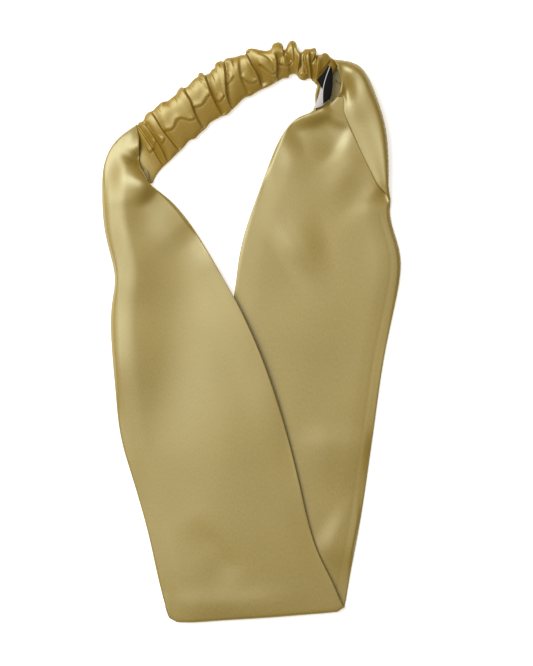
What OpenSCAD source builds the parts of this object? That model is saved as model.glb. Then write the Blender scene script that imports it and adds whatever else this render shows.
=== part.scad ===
// Wide satin headband laid flat: a tube of satin folded once at the front into two crossing halves,
// whose gathered ends are joined at the back by a ruched casing over a flat elastic.
// Frame: +Z up from the surface it lies on, +Y towards the elastic, origin under the middle.

/* [Band] */
// Width of the band across its two long edges
band_w = 73; // [58:1:90]
// Length of the upper half, from the front fold to the middle of its gathered end
upper_len = 205; // [170:1:250]
// Length of the lower half, from the front fold to the middle of its gathered end
lower_len = 232; // [190:1:280]
// Lean of the upper half to the left of +Y, in degrees
upper_lean = 13.5; // [8:0.5:20]
// Lean of the lower half to the right of +Y, in degrees
lower_lean = 8; // [3:0.5:12]
// Slant of the fold line against +X, in degrees
fold_tilt = 4; // [0:0.5:8]
// Angle by which the band crosses the fold line off square, in degrees
fold_skew = 13; // [0:1:20]

/* [Gathered ends] */
// Room beside the casing inside a gathered end, on each side
end_room = 5.7; // [4.8:0.1:8]
// Room over the casing inside a gathered end
end_puff = 2; // [1:0.25:4]
// Lean of the upper half's end line to the left of +Y, in degrees
upper_end_lean = 12; // [4:1:20]
// Lean of the lower half's end line to the right of +Y, in degrees
lower_end_lean = 5; // [0:1:15]
// Number of pleats across a gathered end
pleats = 4; // [2:1:6]
// Height of the pleats
pleat_h = 0.9; // [0.4:0.1:1.5]

/* [Cloth and thread] */
// Thickness of one layer of satin with its nap
cloth_t = 0.6; // [0.4:0.05:0.9]
// Height of the air between the band's two layers
loft = 1.2; // [0.8:0.1:2.5]
// Clearance between the two halves, and round whatever moves
gap = 0.4; // [0.3:0.05:0.8]
// Thickness of the sewing thread
thread_t = 0.3; // [0.2:0.05:0.4]
// Distance of the long seam from the band's edge
seam_inset = 4; // [2.5:0.5:7]
// Length of one stitch
stitch_l = 2; // [1.5:0.25:3]

/* [Casing and elastic] */
// Width of the elastic
elastic_w = 12; // [10:0.5:16]
// Thickness of the elastic
elastic_t = 0.9; // [0.6:0.1:1.2]
// Room beside the elastic inside the ruched casing, on each side
casing_room = 2.6; // [1:0.2:4]
// Height of the casing across its ruching
casing_h = 7.2; // [6:0.2:10]
// Depth to which a casing end goes into a gathered end
tuck = 3; // [2:0.5:4]
// Length of elastic beyond each end of the casing, for the tacks
elastic_tail = 2; // [1.5:0.25:3]
// Number of ruches along the casing
ruches = 13; // [8:1:18]
// Height of the ruches
ruche_h = 0.8; // [0.3:0.1:1.2]

/* [Labels] */
// Length of the woven label along its sewn edge
brand_label_l = 14; // [10:0.5:17]
// Free width of the woven label
brand_label_w = 6; // [4:0.5:8]
// Length of the care label along its sewn edge
care_label_l = 10; // [6:0.5:12]
// Free width of the care label
care_label_w = 8.5; // [5:0.5:11]
// Thickness of one ply of label
label_t = 0.3; // [0.2:0.05:0.5]

/* [Hidden] */

// Colours of the pieces
satin = [0.84, 0.75, 0.46];
satin_inside = [0.74, 0.65, 0.37];
thread = [0.62, 0.52, 0.26];
elastic_white = [0.93, 0.92, 0.88];
label_black = [0.05, 0.05, 0.06];
label_white = [0.86, 0.85, 0.84];

// How finely the cloth is worked out: rows along a half, points across it, rings to a ruche, points round
rows = 22;
across = 24;
ruche_rings = 5;
round_points = 14;
thread_points = 6;

// Room round the elastic in the flat ends of the casing, beside it and over it
end_ease = 0.7;
flat_ease = 0.3;
// Air between a thread and the cloth that it lies on
thread_gap = 0.05;
// Distance of the labels' sewn edges from the gathered end, so that they can swing up
label_off = 1.8;
// Places of the labels' middles along the end line, from its middle towards the back
brand_label_at = -1.3;
care_label_at = -6;

// Shape of each long edge: what is added to the half's lean at the fold, the edge's lean where it reaches
// the gathered end, and the shares of the half's length for which the two leans are held
upper_left_shape = [0, -53, 0.32, 0.23];
upper_right_shape = [5, 51, 0.3, 0.23];
lower_left_shape = [-9, -85, 0.29, 0.21];
lower_right_shape = [0, 56, 0.3, 0.27];
// Shares of the upper half's length between which it drops past the lower half to the surface
drop = [0.66, 0.86];
// Shares of a half's length from which it puffs up and from which it is pleated
puff_from = 0.72;
pleats_from = 0.8;
// Leans of the casing where it leaves the left end and where it enters the right one, and the shares of
// the distance between them for which the leans are held
casing_start_lean = -44;
casing_end_lean = -125;
casing_hold = [0.54, 0.4];
// Share of the casing's length over which its ruching grows from each end
ruching_grows = 0.2;
// How square the casing's section is: 1 is a plain oval
roundness = 0.7;
// Place of the casing's seam round its section, and how far the ruching makes it wander
seam_round = 76;
seam_wander = 9;
// Shares of a half's length at which the closing stitches and the labels' stitches are sewn
closing_at = 0.97;
label_sewn_at = 0.985;
// Share of a gathered end left free of stitches at each side, and the part of a stitch that shows
stitch_margin = 0.2;
stitch_shows = 0.7;
// Thread bars of an elastic tack, and how far they stay inside the elastic's edges
tack_count = 3;
tack_inset = 1;

half_t = 2 * cloth_t + loft;
upper_z = half_t + gap;
fold_z = half_t + gap / 2;
fold_len = band_w / cos(fold_skew);
edge_round = 1.5 * seam_inset;
casing_end_w = elastic_w + 2 * (cloth_t + end_ease);
casing_end_h = elastic_t + 2 * (cloth_t + flat_ease);
casing_w = elastic_w + 2 * (cloth_t + casing_room);
end_w = casing_end_w + 2 * end_room;
end_loft = casing_end_h + 2 * gap + end_puff;
casing_end_z = cloth_t + gap;
elastic_z = casing_end_z + cloth_t + flat_ease;

// A step of the given length that leans to the left of +Y
function lean_step(lean, length) = length * [-sin(lean), cos(lean)];
// From 0 to 1 between a and b, level at both ends
function ease(a, b, x) = let(u = max(0, min(1, (x - a) / (b - a)))) u * u * (3 - 2 * u);
function mix(a, b, u) = a + u * (b - a);
// A cubic curve through its first and last points, at share t of its way
function curve(p, t) =
    pow(1 - t, 3) * p[0] + 3 * t * pow(1 - t, 2) * p[1] + 3 * t * t * (1 - t) * p[2] + pow(t, 3) * p[3];
// Unit direction of the same curve
function heading(p, t) =
    let(d = pow(1 - t, 2) * (p[1] - p[0]) + 2 * t * (1 - t) * (p[2] - p[1]) + t * t * (p[3] - p[2]))
    d / norm(d);
// A curve that leaves a at one lean and reaches b at another, each held for a given length
function sweep_between(a, lean_a, hold_a, b, lean_b, hold_b) =
    [a, a + lean_step(lean_a, hold_a), b - lean_step(lean_b, hold_b), b];

// Ends of the fold line and of the two halves, seen from above
fold_side = fold_len / 2 * [cos(fold_tilt), sin(fold_tilt)];
upper_end = lean_step(upper_lean, upper_len);
lower_end = lean_step(-lower_lean, lower_len);
upper_end_side = lean_step(upper_end_lean, end_w / 2);
lower_end_side = lean_step(-lower_end_lean, end_w / 2);

// The long edges of each half, as [left edge, right edge]
function long_edge(a, lean, length, b, shape) =
    sweep_between(a, lean + shape[0], shape[2] * length, b, shape[1], shape[3] * length);
upper_edges = [
    long_edge(-fold_side, upper_lean, upper_len, upper_end + upper_end_side, upper_left_shape),
    long_edge(fold_side, upper_lean, upper_len, upper_end - upper_end_side, upper_right_shape)
];
lower_edges = [
    long_edge(-fold_side, -lower_lean, lower_len, lower_end - lower_end_side, lower_left_shape),
    long_edge(fold_side, -lower_lean, lower_len, lower_end + lower_end_side, lower_right_shape)
];

// The casing's middle line, which starts and ends inside the gathered ends
casing_span = norm(lower_end - upper_end);
casing_line = sweep_between(
    upper_end - lean_step(casing_start_lean, tuck), casing_start_lean, casing_hold[0] * casing_span,
    lower_end + lean_step(casing_end_lean, tuck), casing_end_lean, casing_hold[1] * casing_span
);

// Place in plan at share t along a half and share v across it
function in_plan(edges, t, v) = mix(curve(edges[0], t), curve(edges[1], t), v);
function width_at(edges, t) = norm(curve(edges[1], t) - curve(edges[0], t));
// Share across the half that crowds the points towards both edges
function crowded(j) = (1 - cos(180 * j / across)) / 2;
// Height of the upper layer's underside over the under layer: the layers part over a rounded edge
function parted(edges, t, v) =
    let(from_edge = min(v, 1 - v) * width_at(edges, t))
    let(air = mix(loft, end_loft, ease(puff_from, 1, t)))
    let(pleat = pleat_h * ease(pleats_from, 1, t) * (1 - cos(360 * pleats * v)) / 2)
    (air + pleat) * (1 - pow(1 - min(1, from_edge / edge_round), 2));
// Height of a half's underside: the upper half drops to the surface once it is past the lower one
function upper_lift(t) = upper_z * (1 - ease(drop[0], drop[1], t));
function no_lift(t) = 0;

// Rows of the under layer and the over layer, each a closed ring round the cloth's thickness
function under_ring(edges, t, z) =
    [for (side = [1, 0], j = [0:across])
        let(v = crowded(side == 1 ? j : across - j))
        concat(in_plan(edges, t, v), z + side * cloth_t)];
function over_ring(edges, t, z) =
    [for (side = [1, 0], j = [0:across])
        let(v = crowded(side == 1 ? j : across - j))
        concat(in_plan(edges, t, v), z + cloth_t + parted(edges, t, v) + side * cloth_t)];

// A point on top of the lower half's or the dropped upper half's over layer, on its flat facets
function over_top(edges, i, j) = 2 * cloth_t + parted(edges, i / rows, crowded(j));
function on_cloth(edges, t, v) =
    let(i = min(rows - 1, floor(t * rows)), p = t * rows - i)
    let(j = min(across - 1, floor(across * acos(1 - 2 * v) / 180)))
    let(q = (v - crowded(j)) / (crowded(j + 1) - crowded(j)))
    let(a = over_top(edges, i, j), b = over_top(edges, i, j + 1))
    let(c = over_top(edges, i + 1, j), d = over_top(edges, i + 1, j + 1))
    let(flat = mix(in_plan(edges, i / rows, v), in_plan(edges, (i + 1) / rows, v), p))
    concat(flat, q > p ? a + q * (b - a) + p * (d - b) : a + p * (c - a) + q * (d - c));
// Height of a thread's middle over the cloth that it lies on, more than half a thread because the cloth slopes
thread_lift = [0, 0, 0.75 * thread_t + 2 * thread_gap];

// Half sizes and foot of the casing at share s along it, with its ruches, and a point on its skin
function in_ruching(s) = ease(0, ruching_grows, s) * ease(0, ruching_grows, 1 - s);
function ruche(s) = ruche_h * in_ruching(s) * (1 - cos(360 * ruches * s)) / 2;
function casing_half_w(s) = mix(casing_end_w, casing_w, in_ruching(s)) / 2;
function casing_half_h(s) = mix(casing_end_h, casing_h, in_ruching(s)) / 2;
function casing_foot(s) = mix(casing_end_z, 0, in_ruching(s));
function squared(x) = sign(x) * pow(abs(x), roundness);
function casing_skin(s, angle, inset, swell) =
    let(d = heading(casing_line, s))
    let(side = (casing_half_w(s) + swell - inset) * squared(cos(angle)))
    let(up = (casing_half_h(s) + swell - inset) * squared(sin(angle)))
    concat(curve(casing_line, s) + side * [-d.y, d.x], casing_foot(s) + casing_half_h(s) + swell + up);

// Height of the labels: clear of the gathered end with its stitches, and of the casing under their free edge
function casing_top(s) = casing_foot(s) + 2 * casing_half_h(s) + 2 * ruche_h * in_ruching(s);
end_top = 2 * cloth_t + end_loft + pleat_h + thread_lift.z + thread_t / 2;
label_z = gap + max(end_top, casing_top(1 - (tuck + label_off + care_label_w) / casing_span));

// The box round everything in plan, whose middle is the origin
outer_points = concat(
    [for (edges = [upper_edges, lower_edges], i = [0:rows], v = [0, 1]) in_plan(edges, i / rows, v)],
    [for (end = [-1, 1]) end * fold_side + lean_step(fold_tilt, -fold_z)],
    [for (i = [0:ruches * ruche_rings], angle = [0, 180])
        let(s = i / (ruches * ruche_rings), p = casing_skin(s, angle, 0, ruche(s))) [p.x, p.y]]
);
low = [min([for (p = outer_points) p.x]), min([for (p = outer_points) p.y])];
high = [max([for (p = outer_points) p.x]), max([for (p = outer_points) p.y])];
middle = (low + high) / 2;

module in_frame() {
    translate([-middle.x, -middle.y, 0]) children();
}

// Triangles over the flat end of a ring whose points pair up, first with last and so on inwards
function end_faces(n, first, turned) =
    [for (j = [0:n / 2 - 2], face = [[j, j + 1, n - 1 - j], [j + 1, n - 2 - j, n - 1 - j]])
        [for (k = turned ? [2, 1, 0] : [0, 1, 2]) first + face[k]]];

// A closed solid through rings of as many points each; closed joins the last ring to the first
module loft_solid(rings, closed = false) {
    n = len(rings[0]);
    m = len(rings);
    last = closed ? m - 1 : m - 2;
    skin = [for (i = [0:last], j = [0:n - 1], half = [0, 1])
        let(a = i * n + j, b = i * n + (j + 1) % n)
        let(c = (i + 1) % m * n + j, d = (i + 1) % m * n + (j + 1) % n)
        half == 0 ? [a, d, b] : [a, c, d]];
    ends = closed ? [] : concat(end_faces(n, 0, false), end_faces(n, (m - 1) * n, true));
    polyhedron([for (ring = rings) each ring], concat(skin, ends));
}

// A thread through points, round in section
module thread_along(points) {
    n = len(points);
    loft_solid([for (i = [0:n - 1])
        let(d = points[min(n - 1, i + 1)] - points[max(0, i - 1)])
        let(flat = [d.x, d.y, 0] / norm([d.x, d.y]))
        [for (k = [0:thread_points - 1])
            let(a = 360 * k / thread_points)
            points[i] + thread_t / 2 * [-flat.y * cos(a), flat.x * cos(a), sin(a)]]]);
}

// A row of stitches that closes a gathered end, on top of its over layer
module closing_stitches(edges) {
    sewn = 1 - 2 * stitch_margin;
    count = max(1, floor(sewn * width_at(edges, closing_at) / stitch_l));
    pitch = sewn / count;
    stitch_parts = 6;
    for (k = [0:count - 1])
        thread_along([for (i = [0:stitch_parts])
            let(in_stitch = (1 - stitch_shows) / 2 + stitch_shows * i / stitch_parts)
            on_cloth(edges, closing_at, stitch_margin + pitch * (k + in_stitch)) + thread_lift]);
}

// Bars of thread over the elastic's tail, just past the casing's end
module tack_bars(end, lean) {
    for (k = [1:tack_count])
        translate(concat(end + lean_step(lean, elastic_tail * k / (tack_count + 1)),
                elastic_z + elastic_t + thread_gap + thread_t / 2))
            rotate([90, 0, lean + 90])
                cylinder(h = elastic_w - 2 * tack_inset, d = thread_t, center = true, $fn = 16);
}

// Thread of the long seam, inside the tube at a set distance from the right-hand edge
module long_seam(edges, lift) {
    thread_along([for (i = [1:rows - 3])
        let(t = i / rows, v = 1 - seam_inset / width_at(edges, t))
        concat(in_plan(edges, t, v), lift(t) + cloth_t + thread_gap + thread_t / 2)]);
}

module lower_outer_layer() {
    color(satin) in_frame()
        linear_extrude(cloth_t)
            polygon(concat(
                [for (i = [0:rows]) curve(lower_edges[0], i / rows)],
                [for (i = [0:rows]) curve(lower_edges[1], 1 - i / rows)]
            ));
}

module lower_inner_layer() {
    color(satin_inside) in_frame()
        loft_solid([for (i = [0:rows]) over_ring(lower_edges, i / rows, 0)]);
}

module lower_seam_thread() {
    color(thread) in_frame() long_seam(lower_edges, function(t) no_lift(t));
}

module right_end_stitches() {
    color(thread) in_frame() closing_stitches(lower_edges);
}

module right_elastic_tack() {
    color(thread) in_frame() tack_bars(casing_line[3], casing_end_lean);
}

// Stitches that hold the labels: from the gathered end over its lip to just under the labels' sewn edges
module label_stitches() {
    from = max(stitch_margin, 0.5 + (care_label_at - care_label_l / 2) / end_w);
    to = min(1 - stitch_margin, 0.5 + (brand_label_at + brand_label_l / 2) / end_w);
    count = max(2, floor((to - from) * end_w / stitch_l));
    color(thread) in_frame()
        for (k = [0:count - 1])
            let(v = mix(from, to, (k + 0.5) / count))
            let(sewn = lower_end + lean_step(-lower_end_lean, (v - 0.5) * end_w)
                + lean_step(90 - lower_end_lean, label_off))
            thread_along([
                on_cloth(lower_edges, label_sewn_at, v) + thread_lift,
                on_cloth(lower_edges, 1, v) + thread_lift,
                concat(sewn, label_z - thread_gap - thread_t / 2)
            ]);
}

// Half of a tube about the fold line, for the turn of one layer
module fold_turn(outer_r) {
    in_frame()
        translate([0, 0, fold_z])
            rotate([0, 0, fold_tilt])
                rotate([0, 90, 0])
                    difference() {
                        cylinder(h = fold_len, r = outer_r, center = true, $fn = 48);
                        cylinder(h = fold_len + 1, r = outer_r - cloth_t, center = true, $fn = 48);
                        translate([-outer_r - 1, 0, -fold_len])
                            cube([2 * outer_r + 2, outer_r + 1, 2 * fold_len]);
                    }
}

module fold_outer_turn() {
    color(satin) fold_turn(fold_z);
}

module fold_inner_turn() {
    color(satin_inside) fold_turn(gap / 2 + cloth_t);
}

module casing_tube() {
    rings = ruches * ruche_rings;
    color(satin) in_frame()
        loft_solid([for (k = [0:round_points - 1])
            let(angle = 360 * k / round_points)
            concat(
                [for (i = [0:rings]) casing_skin(i / rings, angle, 0, ruche(i / rings))],
                [for (i = [rows:-1:0]) casing_skin(i / rows, angle, cloth_t, 0)]
            )], closed = true);
}

module casing_seam_thread() {
    rings = ruches * ruche_rings;
    color(thread) in_frame()
        thread_along([for (i = [ruche_rings:rings - ruche_rings])
            let(s = i / rings, wave = seam_wander * sin(180 * ruches * s))
            casing_skin(s, seam_round + wave, 0, ruche(s)) + thread_lift]);
}

module elastic_strip() {
    tail_start = casing_line[0] - lean_step(casing_start_lean, elastic_tail);
    tail_end = casing_line[3] + lean_step(casing_end_lean, elastic_tail);
    centres = concat([tail_start], [for (i = [0:rows]) curve(casing_line, i / rows)], [tail_end]);
    headings = concat([heading(casing_line, 0)], [for (i = [0:rows]) heading(casing_line, i / rows)],
        [heading(casing_line, 1)]);
    sides = [for (d = headings) elastic_w / 2 * [-d.y, d.x]];
    count = len(centres);
    color(elastic_white) in_frame()
        translate([0, 0, elastic_z])
            linear_extrude(elastic_t)
                polygon(concat(
                    [for (i = [0:count - 1]) centres[i] - sides[i]],
                    [for (i = [0:count - 1]) centres[count - 1 - i] + sides[count - 1 - i]]
                ));
}

module upper_inner_layer() {
    color(satin_inside) in_frame()
        loft_solid([for (i = [0:rows]) under_ring(upper_edges, i / rows, upper_lift(i / rows))]);
}

module upper_outer_layer() {
    color(satin) in_frame()
        loft_solid([for (i = [0:rows]) over_ring(upper_edges, i / rows, upper_lift(i / rows))]);
}

module upper_seam_thread() {
    color(thread) in_frame() long_seam(upper_edges, function(t) upper_lift(t));
}

module left_end_stitches() {
    color(thread) in_frame() closing_stitches(upper_edges);
}

module left_elastic_tack() {
    color(thread) in_frame() tack_bars(casing_line[0], 180 + casing_start_lean);
}

// A ply of label that hangs off the right-hand end line, with its free edge to the left
module label_ply(at, length, width, z) {
    in_frame()
        translate(concat(lower_end + lean_step(-lower_end_lean, at), z))
            rotate([0, 0, -lower_end_lean])
                translate([-label_off - width, -length / 2, 0])
                    cube([width, length, label_t]);
}

module care_label() {
    color(label_white) label_ply(care_label_at, care_label_l, care_label_w, label_z);
}

// Folded in two: its plies meet along the fold at the free edge
module brand_label() {
    low_z = label_z + label_t + gap;
    color(label_black) {
        label_ply(brand_label_at, brand_label_l, brand_label_w, low_z);
        label_ply(brand_label_at, brand_label_l, label_t, low_z + label_t);
        label_ply(brand_label_at, brand_label_l, brand_label_w, low_z + 2 * label_t);
    }
}

lower_outer_layer();
lower_inner_layer();
lower_seam_thread();
right_end_stitches();
right_elastic_tack();
label_stitches();
fold_outer_turn();
fold_inner_turn();
casing_tube();
casing_seam_thread();
elastic_strip();
upper_inner_layer();
upper_outer_layer();
upper_seam_thread();
left_end_stitches();
left_elastic_tack();
care_label();
brand_label();
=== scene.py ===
# %% [markdown]
# This script dresses a packed headband in satin. The headband is one rectangle of cloth sewn into a flat
# tube, folded once at the front and gathered into a ruched casing at the back. We load the imported model
# first, because every piece is placed from its bodies.

# %% Load the frame
import math

import bpy
import numpy as np
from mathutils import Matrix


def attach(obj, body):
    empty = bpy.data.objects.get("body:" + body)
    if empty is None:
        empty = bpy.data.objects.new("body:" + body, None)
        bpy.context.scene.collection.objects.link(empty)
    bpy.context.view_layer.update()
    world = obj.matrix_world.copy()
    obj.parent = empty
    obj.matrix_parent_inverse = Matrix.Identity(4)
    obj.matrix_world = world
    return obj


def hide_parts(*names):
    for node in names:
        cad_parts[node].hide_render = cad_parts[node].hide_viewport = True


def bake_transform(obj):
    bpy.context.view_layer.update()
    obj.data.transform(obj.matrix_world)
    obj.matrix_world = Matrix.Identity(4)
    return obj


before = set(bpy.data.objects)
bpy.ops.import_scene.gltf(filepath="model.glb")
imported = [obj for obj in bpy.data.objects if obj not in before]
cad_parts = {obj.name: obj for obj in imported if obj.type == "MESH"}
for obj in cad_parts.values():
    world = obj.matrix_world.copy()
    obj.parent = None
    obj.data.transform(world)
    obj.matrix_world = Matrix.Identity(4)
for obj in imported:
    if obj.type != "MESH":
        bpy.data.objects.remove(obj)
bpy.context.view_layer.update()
MM = 0.001

# %% [markdown]
# The headband lies on a table and is seen straight from above, so the camera looks down with its top
# edge towards the elastic. A long lens from two thirds of a metre keeps the flat cloth free of perspective.

# %% Camera
VIEW_MIDDLE = (7.3 * MM, 2.1 * MM)
VIEW_HEIGHT = 286.4 * MM
camera_data = bpy.data.cameras.new("camera")
camera_data.lens, camera_data.sensor_width = 85, 36
camera_data.clip_start, camera_data.clip_end = 0.01, 10
camera = bpy.data.objects.new("camera", camera_data)
distance = VIEW_HEIGHT / 2 / (camera_data.sensor_width / 2 / camera_data.lens)
camera.location = (*VIEW_MIDDLE, distance)
bpy.context.scene.collection.objects.link(camera)
bpy.context.scene.camera = camera
print("camera at", round(distance, 3), "m")

# %% [markdown]
# The table is a plain near-white board. The light is one large soft window to the upper left, with a weak
# fill from all round: satin shows its folds by how bright the side towards the window is.

# %% Floor and lights
floor_material = bpy.data.materials.new("floor_white")
floor_material.use_nodes = True
floor_shader = floor_material.node_tree.nodes["Principled BSDF"]
floor_shader.inputs["Base Color"].default_value = (0.97, 0.97, 0.97, 1)
floor_shader.inputs["Roughness"].default_value = 0.9
floor_shader.inputs["Specular IOR Level"].default_value = 0.1
floor_shader.inputs["Emission Color"].default_value = (1, 1, 1, 1)
floor_shader.inputs["Emission Strength"].default_value = 0.5
floor_mesh = bpy.data.meshes.new("floor")
HALF_FLOOR = 3.0
floor_mesh.from_pydata([(x * HALF_FLOOR, y * HALF_FLOOR, 0) for x, y in ((-1, -1), (1, -1), (1, 1), (-1, 1))],
                       [], [(0, 1, 2, 3)])
floor = bpy.data.objects.new("floor", floor_mesh)
floor.data.materials.append(floor_material)
bpy.context.scene.collection.objects.link(floor)


def window(name, place, aim, size, watts, tint):
    """A square area light at place, turned so that its face looks at aim."""
    light = bpy.data.lights.new(name, "AREA")
    light.shape, light.size, light.energy, light.color = "SQUARE", size, watts, tint
    lamp = bpy.data.objects.new(name, light)
    away = np.array(place, float) - np.array(aim, float)
    lamp.location = place
    lean = math.atan2(math.hypot(away[0], away[1]), away[2])
    lamp.rotation_euler = (lean, 0, math.atan2(away[0], -away[1]) if lean > 1e-6 else 0)
    lamp.visible_camera = False
    bpy.context.scene.collection.objects.link(lamp)


window("window_light", (-0.55, 0.36, 0.85), (0, 0, 0), 0.7, 10.5, (0.96, 0.98, 1.0))
window("ceiling_light", (-0.1, 0.05, 1.4), (0, 0, 0), 1.0, 3.0, (1.0, 0.98, 0.94))
world = bpy.data.worlds.new("room")
world.use_nodes = True
world.node_tree.nodes["Background"].inputs["Color"].default_value = (1.0, 0.92, 0.76, 1)
world.node_tree.nodes["Background"].inputs["Strength"].default_value = 0.22
bpy.context.scene.world = world
bpy.context.scene.view_settings.view_transform = "Standard"
print("lights placed")

# %% [markdown]
# Every piece of cloth here is a grid of points worked out by formula. This helper turns a grid into a mesh:
# rows run along the cloth, columns run round or across it, and a UV map in metres lets the weave follow
# the cloth wherever it bends.

# %% From a grid to a mesh


def grid_piece(name, points, uv=None, closed=False):
    """A mesh through a grid of points in millimetres, rows by columns: each face joins four neighbours.
    With closed, the last column joins the first, so the grid is a tube. uv holds metres on the flat cloth, and
    for a tube has one column more than the points, where the cloth meets itself."""
    rows, columns = points.shape[:2]
    index = np.arange(rows * columns).reshape(rows, columns)
    across = index if not closed else np.hstack([index, index[:, :1]])
    faces = np.stack([across[:-1, :-1], across[:-1, 1:], across[1:, 1:], across[1:, :-1]], -1).reshape(-1, 4)
    mesh = bpy.data.meshes.new(name)
    mesh.vertices.add(rows * columns)
    mesh.vertices.foreach_set("co", (points * MM).astype(np.float32).ravel())
    mesh.loops.add(faces.size)
    mesh.loops.foreach_set("vertex_index", faces.astype(np.int32).ravel())
    mesh.polygons.add(len(faces))
    mesh.polygons.foreach_set("loop_start", np.arange(0, faces.size, 4, dtype=np.int32))
    mesh.polygons.foreach_set("use_smooth", np.ones(len(faces), bool))
    mesh.update(calc_edges=True)
    mesh.validate()
    if uv is not None:
        layer = mesh.uv_layers.new(name="cloth")
        corner = np.arange(rows * uv.shape[1]).reshape(rows, -1)
        corner = np.stack([corner[:-1, :-1], corner[:-1, 1:], corner[1:, 1:], corner[1:, :-1]], -1).ravel()
        layer.data.foreach_set("uv", uv.reshape(-1, 2)[corner].astype(np.float32).ravel())
    piece = bpy.data.objects.new(name, mesh)
    bpy.context.scene.collection.objects.link(piece)
    return piece


def ease(low, high, x):
    """0 below low, 1 above high, and a smooth S between."""
    share = np.clip((x - low) / (high - low), 0, 1)
    return share * share * (3 - 2 * share)


def through(stations, shares, at):
    """A natural cubic spline through stations, given at the shares, read at other shares: the second
    differences solve one small linear system, and each value is the usual cubic between two stations."""
    stations, shares = np.asarray(stations, float), np.asarray(shares, float)
    gap = np.diff(shares)
    count = len(shares)
    system = np.eye(count)
    inner = np.arange(1, count - 1)
    system[inner, inner - 1], system[inner, inner + 1] = gap[:-1], gap[1:]
    system[inner, inner] = 2 * (gap[:-1] + gap[1:])
    slope = np.diff(stations, axis=0) / gap[:, None]
    right = np.zeros_like(stations)
    right[1:-1] = 6 * np.diff(slope, axis=0)
    bend = np.linalg.solve(system, right)
    k = np.clip(np.searchsorted(shares, at) - 1, 0, count - 2)
    u, g = (at - shares[k])[:, None], gap[k][:, None]
    first = slope[k] - g * (2 * bend[k] + bend[k + 1]) / 6
    return stations[k] + u * first + u * u * bend[k] / 2 + u ** 3 * (bend[k + 1] - bend[k]) / (6 * g)


def smooth_line(corners, way):
    """Points at the shares in way of a smooth line through its corners, or of the straight one through two."""
    corners = np.array(corners, float)
    if len(corners) > 2:
        return through(corners, np.linspace(0, 1, len(corners)), way)
    return corners[0] + way[:, None] * (corners[1] - corners[0])


def from_line(x, y, line):
    """Signed distance of points from a line of a few corners, rounded to a smooth path, positive on its
    left; and how far along the line the nearest point is, from 0 to 1."""
    path = smooth_line(line, np.linspace(0, 1, 24))
    a, d = path[:-1], np.diff(path, axis=0)
    best = np.full(x.shape, 1e9)
    side, along = np.zeros(x.shape), np.zeros(x.shape)
    for k in range(len(a)):
        px, py = x - a[k, 0], y - a[k, 1]
        u = np.clip((px * d[k, 0] + py * d[k, 1]) / (d[k] @ d[k]), 0, 1)
        off = np.hypot(px - u * d[k, 0], py - u * d[k, 1])
        near = off < best
        best = np.where(near, off, best)
        side = np.where(near, np.sign(d[k, 0] * py - d[k, 1] * px), side)
        along = np.where(near, (k + u) / len(a), along)
    return side * best, along


def fold_heights(x, y, folds):
    """Adds up soft folds. Each fold is (line, height, width on its left, width on its right, start, end):
    a bell across the line, wide or narrow on either side, that swells from the line's start and dies at its
    end over those shares of its length. A negative height is a valley."""
    height = np.zeros(x.shape)
    for line, peak, left, right, start, end in folds:
        off, along = from_line(x, y, line)
        wide = np.where(off > 0, left, right)
        swell = ease(0, max(start, 1e-3), along) * ease(0, max(end, 1e-3), 1 - along)
        height += peak * swell * np.exp(-(off / wide) ** 2)
    return height


# %% [markdown]
# The band is one rectangle of satin sewn into a tube. Laid flat, the tube has two layers. The lower half
# runs from its gathered end at the upper right down to the front fold, and the upper half from there to its
# own gathered end at the upper left. We describe each half by stations: where its two edges are, and how
# far its right edge is turned over on top. A spline through the stations gives as many rows as we like.

# %% Stations of the two halves
# Lower half, from the front fold to the gathered end: left edge x y, right outline x y, bulge of the row for
# the upper and the lower layer, width of the turned-over flap, height of the air in the tube
LOWER = np.array([
    (-34.2, -121.4, 40.9, -116.2, 0, 0, 0, 1),
    (-30.5, -104, 43, -103, 0, 0, 0, 1.1),
    (-26.5, -82, 46.6, -84, 0, 0, 0, 1.1),
    (-22, -58, 50.4, -60, 0, 0, 0, 1.1),
    (-17.5, -32, 54.3, -32, 0, 0, 0, 1.2),
    (-12, -4, 58.6, -4, 0, 0, 0, 1.3),
    (-6.7, 17.8, 63.6, 20, 0, 0, 0, 1.5),
    (-4.2, 35.8, 64.4, 37, 0, 0, 0, 1.8),
    (-0.8, 49, 60.8, 50, 0, 0, 0.3, 2.1),
    (3.8, 62, 59.9, 62, 0, 0, 4, 2.6),
    (9, 76, 59.4, 77, 0.5, 0, 10.5, 2.8),
    (13.8, 86.5, 58.2, 89.5, 1, 0.5, 14.5, 3.2),
    (18.5, 92.6, 55.8, 98.5, 2, 1, 15.5, 3.6),
    (22.8, 95.2, 52.2, 108, 4, 1, 15, 3.9),
    (26, 96.4, 46.5, 116.3, 5, 0, 14.5, 4),
    (28.5, 97.2, 36, 118.8, 7.4, -3, 14.5, 4),
])
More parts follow.
